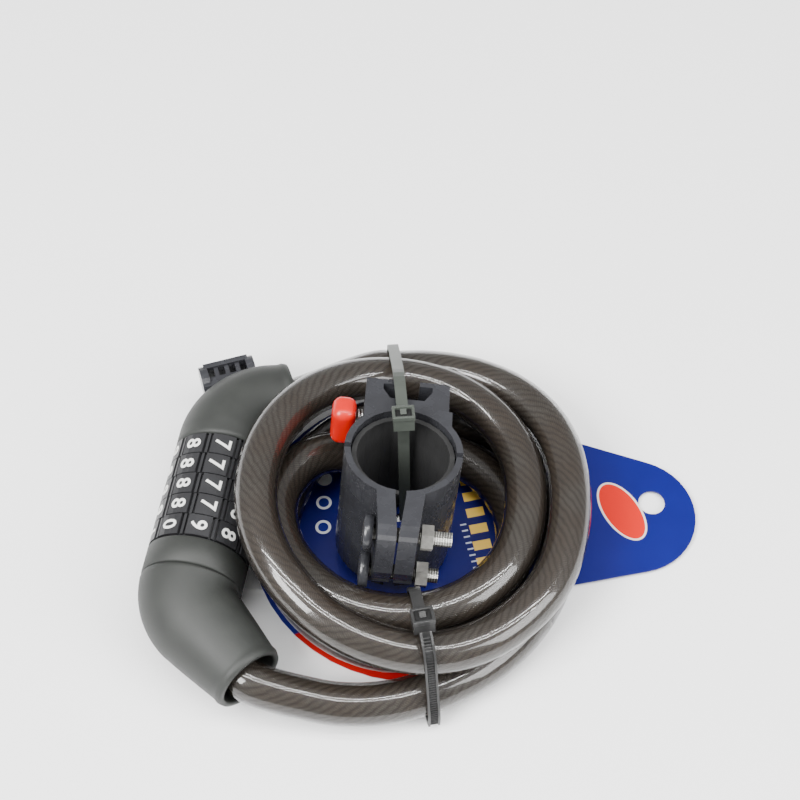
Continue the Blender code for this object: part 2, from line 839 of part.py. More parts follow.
def make_bolts():
    """Two M4 bolts through the lugs, heads on the left and nuts on the right."""
    closed_by = LUG_CLOSING * (BOLT_FORWARD - RING_INNER)
    grip = LUG_GAP / 2 - closed_by + LUG_THICK + 2.2 * GAP
    for name, height, end in zip(("upper", "lower"), BOLT_HEIGHTS, BOLT_ENDS):
        shank = side_rod("clamp_bolt_" + name, BOLT_RADIUS, -grip - 1 * MM, end, height,
                         back=-BOLT_FORWARD, surface=steel())
        head = side_rod("head", 3.6 * MM, -grip - 2.6 * MM, -grip, height, back=-BOLT_FORWARD)
        shank = join(as_mesh(shank), head)
        shade_round(shank)
        nut = side_rod("clamp_nut_" + name, 3.7 * MM, grip, grip + 3.2 * MM, height,
                       back=-BOLT_FORWARD, surface=zinc(), sides=6)
        hole = side_rod("hole", BOLT_RADIUS + GAP, grip - 1 * MM, grip + 5 * MM, height,
                        back=-BOLT_FORWARD)
        nut = cut(nut, hole)


def make_button():
    """The red button at the back left of the bracket, with its stem and its spring."""
    width, depth, tall = 6.0 * MM, 7.4 * MM, 13.0 * MM
    inner = -13.9 * MM
    place = bracket_place(inner - width / 2, 15.6 * MM, BRACKET_HEIGHT - 1 * MM - tall / 2)
    cap = box("release_button", (width, depth, tall), red_plastic(), place)
    rounding = cap.modifiers.new("rounded", "BEVEL")
    rounding.width = 2.0 * MM
    rounding.segments = 3
    cap = as_mesh(cap)
    stem = side_rod("stem", 1.7 * MM, inner - 1 * MM, -8.6 * MM, STEM_HEIGHT)
    cap = join(cap, stem)
    shade_round(cap)
    turns, per_turn = 4, 8
    start, end = inner + 0.5 * MM, SPRING_BORE_END - 0.5 * MM
    points = []
    for i in range(turns * per_turn + 1):
        angle = math.tau * i / per_turn
        along = start + (end - start) * i / (turns * per_turn)
        where = Vector((0, 1.5 * MM * math.cos(angle), 1.5 * MM * math.sin(angle)))
        points.append(bracket_place(along, BUTTON_BACK, SPRING_HEIGHT) @ where)
    tube("button_spring", points, [0.22 * MM] * len(points), steel(), resolution=1)


def tie_place(x, turn):
    """A tie lies in an upright plane across the coil, turned a little about the vertical:
    local X away from the viewer, local Y up."""
    upright = Matrix(((0, 0, 1, 0), (1, 0, 0, 0), (0, 1, 0, 0), (0, 0, 0, 1)))
    turned_plane = Matrix.Rotation(math.radians(turn), 4, "Z") @ upright
    return Matrix.Translation((x, 0, 0)) @ turned_plane


def strap_points(corners):
    """Corner points (away, up) in millimetres, rounded off a little."""
    made = []
    count = len(corners)
    for i in range(count):
        before = Vector(corners[i - 1])
        here = Vector(corners[i])
        after = Vector(corners[(i + 1) % count])
        reach = min(5.0, (before - here).length * 0.45, (after - here).length * 0.45)
        first = here + (before - here).normalized() * reach
        last = here + (after - here).normalized() * reach
        for t in (0.0, 0.25, 0.5, 0.75, 1.0):
            point = first.lerp(here, t).lerp(here.lerp(last, t), t)
            made.append((point.x * MM, point.y * MM))
    return made


def make_tie(name, place, corners, head_at, head_tilt):
    """A zip tie: a closed strap and its square head."""
    outline = band_outline(strap_points(corners), TIE_THICK, closed=True)
    strap = as_mesh(flat(name, outline, TIE_WIDTH, tie_plastic(), place))
    across, along, thick = TIE_HEAD
    head_place = (
        place
        @ Matrix.Translation((head_at[0] * MM, head_at[1] * MM, 0))
        @ Matrix.Rotation(math.radians(head_tilt), 4, "Z")
    )
    head = box("head", (along, thick, across), tie_plastic(), head_place)
    return join(strap, head)


def card_outline():
    body = arc(47.5 * MM, 44, 338, 40, centre=(1 * MM, 2 * MM))
    end = arc(18.8 * MM, -80, 72, 18, centre=(64.3 * MM, 7.2 * MM))
    return body + end + [(50.0 * MM, 32.0 * MM)]


def slit(place, away, wide=5.0, deep=2.6):
    """A slot in the card for a tie's strap, in the tie's own plane."""
    made = []
    for side, end in ((-1, -1), (1, -1), (1, 1), (-1, 1)):
        corner = place @ Vector(((away + end * deep / 2) * MM, 0, side * wide / 2 * MM))
        made.append((corner.x, corner.y))
    return made


def make_card():
    hole = arc(3.9 * MM, 0, 345, 24, centre=(70.6 * MM, 11.4 * MM))
    slits = [slit(NEAR_TIE_PLACE, -32.2, deep=3.2), slit(FAR_TIE_PLACE, 6.4)]
    flat("hang_card", [card_outline(), hole] + slits, CARD_THICK, card_stock(),
         Matrix.Translation((0, 0, CARD_BOTTOM + CARD_THICK / 2)))


clear_scene()
PARTS = collection("cable_lock")
CUTTERS = collection("cutters")

NEAR_TIE_PLACE = tie_place(NEAR_TIE_X, NEAR_TIE_TURN)
FAR_TIE_PLACE = tie_place(FAR_TIE_X, FAR_TIE_TURN)
lock_path = lock_elbow_path()
plug_path = plug_elbow_path()
for end_name, end_path in (("lock", lock_path), ("plug", plug_path)):
    pin_at = cable_end(end_name, end_path)[2]
    pinned_cover(end_name + "_elbow_cover", end_path, pin_at)
make_core()
make_dials()
make_detent_spring()
make_collar()
make_plug_inside()
make_tongue(lock_path)
make_cable()
make_saddle()
make_arm("left", 183, 264.5)
make_arm("right", 275.5, 357)
make_liner()
make_bolts()
make_button()
make_tie("tie_near", NEAR_TIE_PLACE, NEAR_TIE, (-41.8, 30.2), -12.4)
make_tie("tie_far", FAR_TIE_PLACE, FAR_TIE, (12.6, 45.2), -15.0)
make_card()
for piece in PARTS.objects:
    piece.matrix_world = Matrix.Translation(-BOX_MIDDLE) @ piece.matrix_world
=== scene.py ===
# %% [markdown]
# # A coiled cable lock, finished over its solid model
# The solid model of the lock is already there: barrel, dials, elbows, cable, bracket, ties and
# card, each a closed shape with a true size.  This script gives it its looks.  It adds what the
# solids leave out, such as the digits, the rope in the cable and the print on the card, and it
# gives every piece its own material.  Nothing is moved, so each piece goes where the solids are.

# %% Load the solid model
import math

import bmesh
import bpy
from mathutils import Matrix, Vector


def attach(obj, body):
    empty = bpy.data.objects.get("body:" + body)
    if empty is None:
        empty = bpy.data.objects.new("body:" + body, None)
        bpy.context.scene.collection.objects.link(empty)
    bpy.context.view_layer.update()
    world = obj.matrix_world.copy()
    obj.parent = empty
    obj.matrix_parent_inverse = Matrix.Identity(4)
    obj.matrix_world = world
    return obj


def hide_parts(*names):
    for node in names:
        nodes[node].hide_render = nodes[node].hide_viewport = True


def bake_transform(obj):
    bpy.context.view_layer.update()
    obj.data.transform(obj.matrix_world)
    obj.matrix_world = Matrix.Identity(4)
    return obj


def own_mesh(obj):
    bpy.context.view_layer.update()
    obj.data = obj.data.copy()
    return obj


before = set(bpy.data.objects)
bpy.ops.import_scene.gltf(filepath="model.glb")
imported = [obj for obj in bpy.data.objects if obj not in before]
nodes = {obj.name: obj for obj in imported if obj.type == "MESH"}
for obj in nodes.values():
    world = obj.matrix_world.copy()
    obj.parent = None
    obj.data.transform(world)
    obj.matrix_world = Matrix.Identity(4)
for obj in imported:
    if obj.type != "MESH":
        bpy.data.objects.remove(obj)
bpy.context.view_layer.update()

MM = 0.001

# %% [markdown]
# ## Camera
# The lock lies flat, so it is seen from the front and from well above, with a long lens that
# keeps the coil round. The camera stands a little over half a metre away and looks down 57
# degrees from the horizontal.

# %% Camera
lens = bpy.data.cameras.new("camera")
lens.lens = 79.875
lens.sensor_width = 36.0
camera = bpy.data.objects.new("camera", lens)
camera.location = (-0.00703, -0.24751, 0.45564)
camera.rotation_euler = (math.radians(33.0), 0.0, 0.0)
bpy.context.collection.objects.link(camera)
bpy.context.scene.camera = camera
print("camera at", tuple(round(v, 3) for v in camera.location))

# %% [markdown]
# ## Where things are
# The barrel's axis and the bracket's frame repeat the numbers of the solid model, in metres.
# `bracket_place` turns a point given in the bracket's own frame into the scene.

# %% Barrel and bracket frames
MIDDLE = Vector((3.65, 0.0, 0.0)) * MM
BARREL_CENTRE = Vector((-57.2, 2.1, 14.6)) * MM - MIDDLE
BARREL_ANGLE = math.radians(80.4)
BARREL_AXIS = Vector((math.cos(BARREL_ANGLE), math.sin(BARREL_ANGLE), 0.0))
BARREL_RADIUS = 14.3 * MM
DIAL_PITCH = 6.6 * MM
DIAL_STACK = 5 * DIAL_PITCH
DIAL_TURNS = (7.0, 5.2, 7.6, 8.4, 3.6)
COLLAR_LENGTH = 8.4 * MM
GAP = 0.3 * MM
UP = Vector((0.0, 0.0, 1.0))
SIDE = BARREL_AXIS.cross(UP)

BRACKET_TURN = (
    Matrix.Rotation(math.radians(-10.0), 4, "X")
    @ Matrix.Rotation(math.radians(5.0), 4, "Y")
    @ Matrix.Rotation(math.radians(-3.0), 4, "Z")
)
BRACKET_HEIGHT = 39.5 * MM
BRACKET_TOP = Vector((-2.3, 3.7, 44.0)) * MM - MIDDLE
BRACKET_FOOT = BRACKET_TOP - BRACKET_TURN @ Vector((0, 0, BRACKET_HEIGHT))


def bracket_place(x=0.0, y=0.0, z=0.0):
    return Matrix.Translation(BRACKET_FOOT) @ BRACKET_TURN @ Matrix.Translation((x, y, z))


# %% [markdown]
# ## The cable's route
# A thick sheathed cable is stiff, so it lies in wide even turns: out of the plug's elbow, twice
# round low down, over itself in a long hump, and round again on top until it ends in the lock's
# elbow.  The route is a list of stations, each an angle round the coil with a radius and a
# height in millimetres.  A smooth curve through them is what a bent cable would do; a spiral
# from a formula would be too regular.

# %% Stations round the coil
LOW = 8.4
COIL_STATIONS = (
    (-116, 60.6, 9.6),
    (-105, 57.3, 8.6),
    (-92, 53.6, LOW),
    (-77, 49.7, LOW),
    (-51, 45.6, LOW),
    (-30, 43.4, LOW),
    (0, 42.2, LOW),
    (30, 41.0, LOW),
    (60, 39.2, LOW),
    (95, 38.1, LOW),
    (140, 37.2, LOW),
    (166, 37.3, LOW),
    (190, 38.7, LOW),
    (225, 39.8, LOW),
    (262, 39.8, LOW),
    (285, 36.8, LOW),
    (309, 32.7, LOW),
    (330, 30.7, LOW),
    (360, 29.7, LOW),
    (405, 27.2, LOW),
    (455, 25.6, 8.6),
    (478, 25.5, 11.3),
    (495, 28.2, 16.2),
    (512, 33.0, 20.0),
    (540, 38.0, 20.8),
    (585, 36.8, 20.8),
    (630, 33.9, 19.6),
    (675, 32.6, 20.6),
    (720, 32.0, 20.8),
    (765, 36.2, 21.2),
    (810, 41.0, 22.2),
    (855, 42.4, 29.4),
    (895, 42.8, 33.0),
    (935, 44.6, 32.0),
    (965, 45.9, 27.4),
    (1000, 46.4, 21.4),
    (1040, 45.4, 21.0),
    (1080, 44.5, 20.9),
    (1125, 49.4, 17.4),
    (1173, 50.8, 12.9),
    (1192, 52.4, 13.2),
)
CABLE_RADIUS = 6.0 * MM
TURN_STEP = 20.0
STUB = 4.0 * MM
LEAD_SHARE = 0.105


def smooth_value(column, at):
    """A smooth curve through one column of the stations, at an angle."""
    rows = COIL_STATIONS
    last = len(rows) - 2
    k = 0
    while k < last and rows[k + 1][0] < at:
        k += 1

    def slope(i):
        a = rows[max(i - 1, 0)]
        b = rows[min(i + 1, len(rows) - 1)]
        return (b[column] - a[column]) / (b[0] - a[0])

    span = rows[k + 1][0] - rows[k][0]
    t = (at - rows[k][0]) / span
    return (
        rows[k][column] * (2 * t**3 - 3 * t**2 + 1)
        + slope(k) * span * (t**3 - 2 * t**2 + t)
        + rows[k + 1][column] * (3 * t**2 - 2 * t**3)
        + slope(k + 1) * span * (t**3 - t**2)
    )


def coil_points():
    made = []
    at = COIL_STATIONS[0][0]
    while at < COIL_STATIONS[-1][0]:
        radius = smooth_value(1, at) * MM
        angle = math.radians(at)
        flat = Vector((radius * math.cos(angle), radius * math.sin(angle), 0.0))
        made.append(flat + UP * smooth_value(2, at) * MM - MIDDLE)
        at += TURN_STEP / 2
    return made


# %% Elbow middle lines and the cable's ends
def elbow_path(start, straight, bend_radius, bend, run, way, steps=6):
    """Along the barrel's axis, then bent towards the cable, then straight to the mouth."""
    heading = BARREL_ANGLE + (0.0 if way > 0 else math.pi)
    at = BARREL_CENTRE + BARREL_AXIS * start
    made = [at.copy()]

    def step(angle, length):
        made.append(made[-1] + Vector((math.cos(angle), math.sin(angle), 0)) * length)

    step(heading, straight)
    for _ in range(steps):
        turn = -way * bend / steps
        step(heading + turn / 2, 2 * bend_radius * math.sin(abs(turn) / 2))
        heading += turn
    step(heading, run)
    return made


LOCK_PATH = elbow_path(DIAL_STACK / 2 + GAP, 5.2 * MM, 18.0 * MM, math.radians(63.7), 6.5 * MM, 1)
PLUG_PATH = elbow_path(
    -DIAL_STACK / 2 - COLLAR_LENGTH - GAP, 0.1 * MM, 13.9 * MM, math.radians(51.0), 21.7 * MM, -1
)


def end_points(path, depth):
    outward = (path[-1] - path[-2]).normalized()
    face = path[-1] - outward * (depth - GAP)
    return [face, face + outward * STUB, path[-1] + outward * 1.0 * MM - UP * 0.6 * MM]


def even_points(points, count):
    """Evenly spaced points on a Catmull-Rom curve through the given points."""
    dense = []
    padded = [points[0] * 2 - points[1]] + points + [points[-1] * 2 - points[-2]]
    for a, b, c, d in zip(padded, padded[1:], padded[2:], padded[3:]):
        for i in range(12):
            t = i / 12
            dense.append(
                0.5 * (2 * b + (c - a) * t + (2 * a - 5 * b + 4 * c - d) * t**2
                       + (3 * b - a - 3 * c + d) * t**3)
            )
    dense.append(points[-1])
    lengths = [0.0]
    for a, b in zip(dense, dense[1:]):
        lengths.append(lengths[-1] + (b - a).length)
    made = []
    k = 0
    for i in range(count):
        target = lengths[-1] * i / (count - 1)
        while k < len(dense) - 2 and lengths[k + 1] < target:
            k += 1
        share = (target - lengths[k]) / (lengths[k + 1] - lengths[k])
        made.append(dense[k].lerp(dense[k + 1], share))
    return made


def length_of(points):
    return sum((b - a).length for a, b in zip(points, points[1:]))


route = end_points(PLUG_PATH, 12.5 * MM) + coil_points() + end_points(LOCK_PATH, 6.5 * MM)[::-1]
cable_line = even_points(route, 900)
split = int(len(cable_line) * LEAD_SHARE)
print("cable length in metres:", round(length_of(cable_line), 3))

# %% [markdown]
# ## Sweeping a section along a line
# A tube can be a curve with a bevel, but the rope inside this cable needs a pattern that follows
# it, so the tube needs a UV map that counts metres along it.  Here a closed section is extruded
# from station to station.  The section's frame is carried along without twisting, which keeps
# the rope's lay even.  The same sweep later makes the elbows and the rails on a tie.

# %% A section carried along a line
def carried_frames(points):
    """Unit (along, across, third) at each point, turned as little as possible in between."""
    made = []
    across = None
    for i in range(len(points)):
        before = points[max(i - 1, 0)]
        after = points[min(i + 1, len(points) - 1)]
        along = (after - before).normalized()
        across = UP.cross(along) if across is None else across - along * across.dot(along)
        across.normalize()
        made.append((along, across.copy(), along.cross(across)))
    return made


def circle_section(radius, sides):
    turns = [math.tau * i / sides for i in range(sides)]
    return [(radius * math.cos(turn), radius * math.sin(turn)) for turn in turns]


def add_object(name, bm, smooth=True):
    mesh = bpy.data.meshes.new(name)
    bm.to_mesh(mesh)
    bm.free()
    for face in mesh.polygons:
        face.use_smooth = smooth
    made = bpy.data.objects.new(name, mesh)
    bpy.context.collection.objects.link(made)
    return made


def sweep(bm, points, frames, sections, start_at=0.0, surface=0, closed=False):
    """Extrude a ring of vertices from point to point.  A closed sweep joins up with its start,
    and an open one gets a face over each end."""
    uv = bm.loops.layers.uv.verify()
    sides = len(sections[0])
    faces_before = set(bm.faces)
    ring = bmesh.ops.create_circle(bm, segments=sides, radius=1.0)["verts"]
    rings = [ring]
    edges = [bm.edges.get((ring[i], ring[(i + 1) % sides])) for i in range(sides)]
    for _ in points[1:]:
        grown = bmesh.ops.extrude_edge_only(bm, edges=edges)["geom"]
        fresh = {item for item in grown if isinstance(item, bmesh.types.BMVert)}
        ring = [next(e.other_vert(v) for e in v.link_edges if e.other_vert(v) in fresh)
                for v in rings[-1]]
        edges = [bm.edges.get((ring[i], ring[(i + 1) % sides])) for i in range(sides)]
        rings.append(ring)
    along = [start_at]
    for a, b in zip(points, points[1:]):
        along.append(along[-1] + (b - a).length)
    where = {}
    for k, ring in enumerate(rings):
        for i, vert in enumerate(ring):
            a, b = sections[k][i]
            vert.co = points[k] + frames[k][1] * a + frames[k][2] * b
            where[vert] = (i, along[k])
    made = [face for face in bm.faces if face not in faces_before]
    for face in made:
        spots = [where[loop.vert] for loop in face.loops]
        turns = [spot[0] for spot in spots]
        wraps = max(turns) - min(turns) > sides / 2
        for loop, (i, reach) in zip(face.loops, spots):
            turn = i + sides if wraps and i < sides / 2 else i
            loop[uv].uv = (turn / sides, reach)
    ends = [[bm.edges.get((ring[i], ring[(i + 1) % sides])) for i in range(sides)]
            for ring in (rings[0], rings[-1])]
    if closed:
        made += bmesh.ops.bridge_loops(bm, edges=ends[0] + ends[1])["faces"]
    else:
        for loop_edges in ends:
            made += bmesh.ops.contextual_create(bm, geom=loop_edges)["faces"]
    bmesh.ops.recalc_face_normals(bm, faces=made)
    for face in made:
        face.material_index = surface
    return made


# %% [markdown]
# ## The cable, in two lengths
# The plug pulls out of the barrel, and the first stretch of cable goes with it while the tied
# coil stays.  So the cable is two pieces that meet where the near tie holds them: the lead runs
# between the plug and the lock and is attached to neither, and the coil rides on the lock.

# %% Lead and coil
ROPE_RADIUS = 5.05 * MM
line_frames = carried_frames(cable_line)


def cable_piece(name, first, last):
    """The steel rope, and round it the clear sheath."""
    points = cable_line[first : last + 1]
    frames_here = line_frames[first : last + 1]
    start_at = length_of(cable_line[: first + 1])
    bm = bmesh.new()
    bm.loops.layers.uv.new("cable")
    for surface, radius, sides in ((0, CABLE_RADIUS, 32), (1, ROPE_RADIUS, 32)):
        section = circle_section(radius, sides)
        sweep(bm, points, frames_here, [section] * len(points), start_at, surface)
    return add_object(name, bm), points


lead, lead_line = cable_piece("lead_cable", 0, split)
coil, coil_line = cable_piece("coil_cable", split, len(cable_line) - 1)
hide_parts("cable_lead")
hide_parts("cable_coil")
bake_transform(lead)
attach(coil, "lock")
length_of(lead_line)
length_of(coil_line)
print("lead", round(length_of(lead_line), 3), "coil", round(length_of(coil_line), 3))

# %% [markdown]
# ## Shader maths in plain Python
# A material is a graph of nodes.  Written node by node it is hard to read, so `Value` wraps one
# socket and lets + - * / build the Math nodes.  Every other node comes from `Finish.node`, which
# takes the node's settings first and then its inputs.  Colours are mixed with Mix nodes, because
# a Math node would turn them grey.

# %% Sockets that do arithmetic
class Value:
    def __init__(self, finish, socket):
        self.finish = finish
        self.socket = socket

    def maths(self, kind, *inputs):
        made = self.finish.node("Math", {"operation": kind}, *inputs)
        return Value(self.finish, made.outputs[0])

    def __add__(self, other):
        return self.maths("ADD", self, other)

    def __sub__(self, other):
        return self.maths("SUBTRACT", self, other)

    def __rsub__(self, other):
        return self.maths("SUBTRACT", other, self)

    def __mul__(self, other):
        return self.maths("MULTIPLY", self, other)

    def __truediv__(self, other):
        return self.maths("DIVIDE", self, other)

    def __pow__(self, other):
        return self.maths("POWER", self, other)

    __radd__ = __add__
    __rmul__ = __mul__

    def sine(self):
        return self.maths("SINE", self)

    def size(self):
        return self.maths("ABSOLUTE", self)

    def below(self, limit, soft):
        """1 below the limit and 0 above it, with a soft edge."""
        made = self.finish.node("MapRange", {"interpolation_type": "SMOOTHSTEP"}, self,
                                limit - soft, limit + soft, 1.0, 0.0)
        return Value(self.finish, made.outputs[0])


class Finish:
    """One material: its node graph and the short ways to build it."""

    def __init__(self, name):
        self.material = bpy.data.materials.new(name)
        self.material.use_nodes = True
        self.graph = self.material.node_tree
        self.shader = self.graph.nodes["Principled BSDF"]

    def node(self, kind, settings=None, *inputs):
        made = self.graph.nodes.new("ShaderNode" + kind)
        for key, value in (settings or {}).items():
            setattr(made, key, value)
        for socket, value in zip(made.inputs, inputs):
            self.put(socket, value)
        return made

    def put(self, socket, value):
        if isinstance(value, Value):
            self.graph.links.new(value.socket, socket)
        elif isinstance(value, bpy.types.NodeSocket):
            self.graph.links.new(value, socket)
        elif value is not None:
            socket.default_value = value

    def place(self):
        """Object coordinates, in metres."""
        return self.node("TexCoord").outputs["Object"]

    def parts(self, vector):
        made = self.node("SeparateXYZ", None, vector)
        return [Value(self, out) for out in made.outputs]

    def noise(self, scale, detail=4.0, rough=0.55, vector=None):
        made = self.node("TexNoise", None)
        self.put(made.inputs["Vector"], vector or self.place())
        made.inputs["Scale"].default_value = scale
        made.inputs["Detail"].default_value = detail
        made.inputs["Roughness"].default_value = rough
        return Value(self, made.outputs["Fac"])

    def along(self, direction):
        """How far a point lies along a direction, in metres."""
        made = self.node("VectorMath", {"operation": "DOT_PRODUCT"}, self.place(), direction)
        return Value(self, made.outputs["Value"])

    def mix(self, share, first, second):
        made = self.node("Mix", {"data_type": "RGBA"})
        self.put(made.inputs[0], share)
        self.put(made.inputs[6], (*first, 1.0) if isinstance(first, tuple) else first)
        self.put(made.inputs[7], (*second, 1.0) if isinstance(second, tuple) else second)
        return made.outputs[2]

    def bump(self, height, strength, distance):
        made = self.node("Bump")
        made.inputs["Strength"].default_value = strength
        made.inputs["Distance"].default_value = distance
        self.put(made.inputs["Height"], height)
        self.graph.links.new(made.outputs["Normal"], self.shader.inputs["Normal"])

    def set(self, **values):
        for key, value in values.items():
            self.put(self.shader.inputs[key.replace("_", " ")], value)
        return self.material


# %% [markdown]
# ## Moulded plastic
# Every moulding here is plastic with a different grain: the elbows are matt and finely textured,
# the dials smoother, the bracket nearly polished, the ties in between.  One function covers
# them all.  A large slow noise shifts the colour and a fine noise gives the grain, which is what
# tells plastic from a flat colour.

# %% Plastic finishes
def plastic(name, dark, light, roughness, grain, grain_depth, coat=0.0):
    finish = Finish(name)
    cloud = finish.noise(160.0, 3.0)
    fine = finish.noise(grain, 2.0)
    finish.bump(fine, 0.5, grain_depth)
    finish.set(Coat_Weight=coat, Coat_Roughness=0.12, Specular_IOR_Level=0.35)
    return finish.set(
        Base_Color=finish.mix(cloud * 0.8 + fine * 0.2, dark, light),
        Roughness=roughness + (cloud - 0.5) * 0.16,
    )


cover_plastic = plastic(
    "matt_cover", (0.017, 0.018, 0.017), (0.029, 0.031, 0.028), 0.55, 5200.0, 0.00006)
dial_plastic = plastic(
    "dial_black", (0.012, 0.012, 0.013), (0.026, 0.026, 0.028), 0.38, 4000.0, 0.00003)
bracket_plastic = plastic(
    "bracket_black", (0.013, 0.013, 0.015), (0.034, 0.035, 0.040), 0.27, 3000.0, 0.00002, 0.25)
tie_black = plastic(
    "tie_black", (0.014, 0.014, 0.014), (0.034, 0.034, 0.034), 0.36, 2600.0, 0.00003)
tie_grey = plastic(
    "tie_grey", (0.036, 0.042, 0.036), (0.060, 0.067, 0.058), 0.40, 2600.0, 0.00003)
# near-black painted shade for the floors of shallow openings and channels that lie in shadow
painted_recess_shade = plastic(
    "painted_recess_shade", (0.004, 0.004, 0.004), (0.010, 0.010, 0.010), 0.60, 2600.0, 0.00003)
button_red = plastic(
    "button_red", (0.42, 0.002, 0.0005), (0.60, 0.006, 0.001), 0.34, 1200.0, 0.00003, 0.3)
liner_black = plastic(
    "liner_rubber", (0.010, 0.010, 0.010), (0.022, 0.022, 0.022), 0.72, 3400.0, 0.00008)
digit_white = plastic(
    "digit_white", (0.66, 0.66, 0.63), (0.84, 0.84, 0.81), 0.45, 3000.0, 0.00002)
print("plastic finishes ready")

# %% [markdown]
# ## Metals
# The bolts are plain steel with a rolled thread.  At this size a thread needs no geometry: a
# smooth ripple along the bolt, used as bump, catches the light in the same way.  The same ripple
# also darkens the colour in the thread's roots, which is painted shade.  The ripple is measured
# along the bracket's own cross direction, so it stays square to the bolt.

# %% Metal finishes
BRACKET_ACROSS = tuple(BRACKET_TURN.col[0][:3])
THREAD_PITCH = 0.7 * MM


def metal(name, dark, light, roughness, thread=False):
    finish = Finish(name)
    wear_and_root_shade = finish.noise(900.0, 5.0)
    height = finish.noise(6000.0, 2.0)
    if thread:
        ridge = (finish.along(BRACKET_ACROSS) * (math.tau / THREAD_PITCH)).sine() * 0.5 + 0.5
        height = ridge * 0.9 + height * 0.1
        # painted shade: the colour follows the ripple, near-black in the thread's roots and light
        # on its crests
        wear_and_root_shade = wear_and_root_shade * 0.35 + ridge * 0.65
    finish.bump(height, 0.8 if thread else 0.3, 0.00022 if thread else 0.00003)
    finish.set(Metallic=1.0)
    # on threaded bolts this colour carries the painted shade of the thread roots as well as random
    # wear
    return finish.set(Base_Color=finish.mix(wear_and_root_shade, dark, light), Roughness=roughness + wear_and_root_shade * 0.12)


thread_steel = metal("thread_steel", (0.10, 0.098, 0.09), (0.62, 0.61, 0.58), 0.26, thread=True)
plain_steel = metal("plain_steel", (0.36, 0.36, 0.35), (0.60, 0.60, 0.58), 0.28)
nut_metal = metal("nut_metal", (0.30, 0.29, 0.27), (0.62, 0.61, 0.57), 0.32)

# %% [markdown]
# ## Rope under a smoky sheath
# The cable is a twisted steel rope in a clear, smoke-coloured skin.  True refraction would be
# slow and noisy here.  Instead the skin is a thin tinted layer, partly see-through and polished,
# and the rope is a second tube inside it.  The skin stands clear of the rope, so its edge shows
# as a smoky rim on each side.  Strands lean one way round the rope, and the wires in them lean
# the other way.

# %% Cable finishes
def rope_finish():
    finish = Finish("steel_rope")
    layout = finish.node("UVMap", {"uv_map": "cable"}).outputs["UV"]
    around, along, _ = finish.parts(layout)
    uneven = finish.noise(420.0, 3.0)
    strand = ((around * 14.0 + along * 330.0 + uneven * 0.9) * math.tau).sine() * 0.5 + 0.5
    wires = ((around * 42.0 - along * 1150.0 + uneven * 1.1) * math.tau).sine() * 0.5 + 0.5
    cloud = finish.noise(150.0, 4.0)
    rust = finish.noise(70.0, 3.0)
    weave = (strand ** 0.5 * 0.75 + 0.25) * (0.45 + wires * 0.55)
    steel = finish.mix(rust.below(0.5, 0.16), (0.150, 0.140, 0.120), (0.130, 0.098, 0.070))
    shade = finish.mix(weave * (0.40 + cloud * 0.95), (0.016, 0.012, 0.009), steel)
    finish.bump(weave, 0.6, 0.0003)
    finish.set(Metallic=0.0)
    return finish.set(Base_Color=shade, Roughness=0.40 + cloud * 0.2)


def sheath_finish():
    finish = Finish("smoky_sheath")
    cloud = finish.noise(45.0, 3.0)
    finish.set(Coat_Weight=1.0, Coat_Roughness=0.04)
    return finish.set(
        Base_Color=finish.mix(cloud, (0.007, 0.006, 0.005), (0.024, 0.018, 0.014)),
        Roughness=0.16 + cloud * 0.08,
        Alpha=0.54 + cloud * 0.18,
    )


smoky_sheath = sheath_finish()
steel_rope = rope_finish()
for piece in (lead, coil):
    piece.data.materials.append(smoky_sheath)
    piece.data.materials.append(steel_rope)
print("sheath and rope on", lead.name, "and", coil.name)

# %% [markdown]
# ## The printed card
# The card is glossy blue with a red oval, a red area under the coil and pale marks.  The marks
# are plain bars and dots: print without words.  Each is a mask worked out from the place on the
# card in metres, so it needs no image file.

# %% Card finish
def printed_card():
    finish = Finish("printed_card")
    x, y, _ = finish.parts(finish.place())

    def local(cx, cy, degrees):
        c, s = math.cos(math.radians(degrees)), math.sin(math.radians(degrees))
        across, up = x - cx * MM, y - cy * MM
        return across * c + up * s, up * c - across * s

    def oval(cx, cy, half_x, half_y, degrees):
        a, b = local(cx, cy, degrees)
        return ((a / (half_x * MM)) ** 2.0 + (b / (half_y * MM)) ** 2.0).below(1.0, 0.03)

    def bar(cx, cy, half_x, half_y, degrees):
        a, b = local(cx, cy, degrees)
        return a.size().below(half_x * MM, 0.00006) * b.size().below(half_y * MM, 0.00006)

    cloud = finish.noise(60.0, 3.0)
    colour = finish.mix(cloud, (0.0004, 0.0014, 0.085), (0.0008, 0.0032, 0.135))
    colour = finish.mix(oval(-20.0, -42.0, 34.0, 15.0, 10.0), colour, (0.34, 0.0015, 0.001))
    colour = finish.mix(oval(58.0, 8.5, 10.6, 5.6, -62.0), colour, (0.62, 0.55, 0.50))
    colour = finish.mix(oval(58.0, 8.5, 10.0, 5.0, -62.0), colour, (0.52, 0.006, 0.001))
    for k in range(7):
        colour = finish.mix(bar(13.2 + 0.9 * k, 19.0 - 5.4 * k, 2.6, 1.5, 12.0), colour,
                            (0.86, 0.56, 0.10))
    for k in range(12):
        colour = finish.mix(bar(11.4 + 0.5 * k, 4.0 - 2.0 * k, 0.9, 0.25, 12.0), colour,
                            (0.55, 0.58, 0.70))
    for cy in (19.4, 11.4, 3.2):
        colour = finish.mix(oval(-29.4, cy, 2.3, 2.3, 0.0), colour, (0.72, 0.73, 0.76))
    for cy in (11.4, 3.2):
        colour = finish.mix(oval(-29.4, cy, 1.5, 1.5, 0.0), colour, (0.004, 0.010, 0.20))
    finish.bump(finish.noise(900.0, 3.0), 0.15, 0.00005)
    finish.set(Coat_Weight=0.15, Coat_Roughness=0.1, Specular_IOR_Level=0.25)
    return finish.set(Base_Color=colour, Roughness=0.34 + cloud * 0.08)


card_finish = printed_card()

# %% [markdown]
# ## Dressing the solid pieces
# Each solid piece keeps its shape and takes the finish that its name calls for.  Pieces inside
# the covers get their metal too, because they show when the plug is pulled out.

